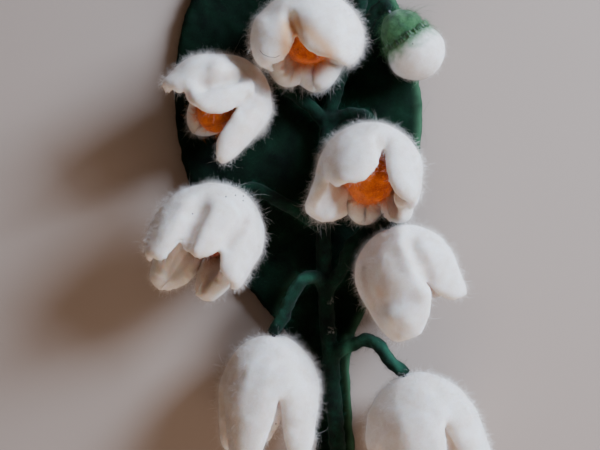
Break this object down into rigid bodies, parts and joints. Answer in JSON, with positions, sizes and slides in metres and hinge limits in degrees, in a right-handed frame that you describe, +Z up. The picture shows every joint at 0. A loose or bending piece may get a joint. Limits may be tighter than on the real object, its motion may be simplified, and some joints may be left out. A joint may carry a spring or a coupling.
{
  "type": "needle-felted lily of the valley spray",
  "caption": "Needle-felted lily of the valley: white wool bells with amber middles on arched stalks, lying on one broad green felt leaf.",
  "frame": {"origin": "on the leaf's flat back, under the widest part of the blade", "axes": "+X to the right seen from above, +Y from the cut end of the stem to the leaf's tip, +Z up, from the leaf towards the bells"},
  "size_m": [0.0684, 0.1329, 0.0281],
  "materials": {
    "wool_leaf_green": "dense dark green felt",
    "wool_stem_green": "green wool wound on wire",
    "wool_white": "soft white felted wool",
    "wool_amber": "loose amber wool",
    "wool_cap_green": "thin light green wool",
    "wire_steel": "plain craft wire"
  },
  "bodies": {
    "root": {"leaf": "wool_leaf_green", "stem_wool": "wool_stem_green", "stem_wire": "wire_steel", "bell_1": "wool_white", "bell_2": "wool_white", "bell_3": "wool_white", "bell_4": "wool_white", "bell_5": "wool_white", "bell_6": "wool_white", "bell_7": "wool_white", "centre_1": "wool_amber", "centre_2": "wool_amber", "centre_3": "wool_amber", "centre_4": "wool_amber", "centre_5": "wool_amber", "centre_6": "wool_amber", "centre_7": "wool_amber", "bud_side": "wool_white", "bud_side_cap": "wool_cap_green", "bud_tip": "wool_white", "bud_tip_cap": "wool_cap_green"}
  },
  "joints": []
}
